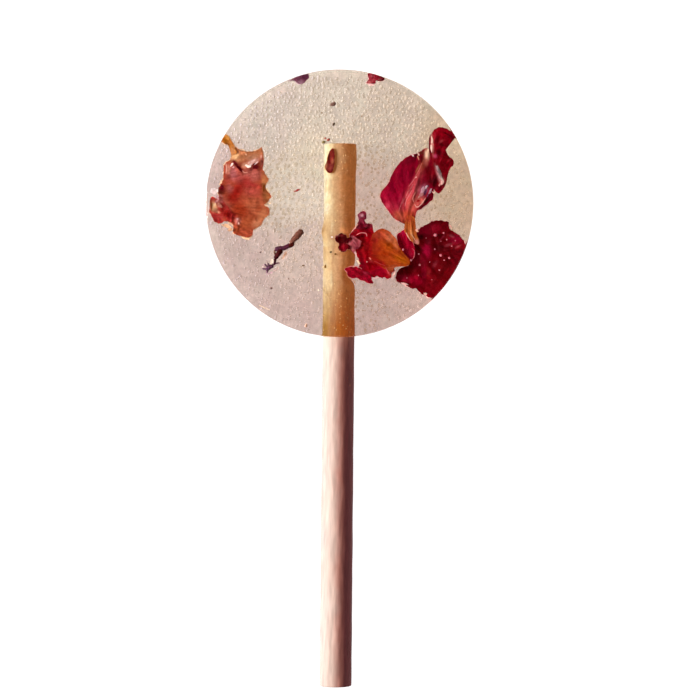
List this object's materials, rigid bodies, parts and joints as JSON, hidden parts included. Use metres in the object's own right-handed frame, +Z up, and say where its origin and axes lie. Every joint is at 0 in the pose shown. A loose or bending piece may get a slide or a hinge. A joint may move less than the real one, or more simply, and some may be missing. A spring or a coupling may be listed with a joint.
{
  "type": "flower lollipop",
  "caption": "Flat round lollipop of clear boiled sugar with dried rose petals set in it, on a plain round wooden stick, lying on its underside.",
  "frame": {"origin": "middle of the flat underside that the disc lies on", "axes": "+Z up out of the face that shows; the stick runs out along -Y; +X to the right, seen from above with the stick pointing down the page"},
  "size_m": [0.05, 0.1156, 0.009],
  "materials": {
    "candy": "clear pale golden boiled sugar full of fine bubbles, glossy",
    "wood": "plain untreated birch, fine grain along the stick",
    "salmon_petal": "dried rose petal, salmon to ochre, slightly translucent",
    "magenta_petal": "dried rose petal, magenta crimson, slightly translucent",
    "crimson_petal": "dried rose petal, deep crimson, slightly translucent",
    "amber_petal": "dried rose petal, crimson with an amber base, slightly translucent",
    "dark_red_petal": "scrap of dried petal, dark red",
    "purple_petal": "scrap of dried petal, dull purple"
  },
  "bodies": {
    "root": {"candy": "candy", "stick": "wood", "petal_left": "salmon_petal", "petal_upper_right": "magenta_petal", "petal_lower_right": "crimson_petal", "petal_centre": "amber_petal", "scrap_on_stick": "dark_red_petal", "scrap_rim_purple": "purple_petal", "scrap_rim_crimson": "magenta_petal"}
  },
  "joints": []
}
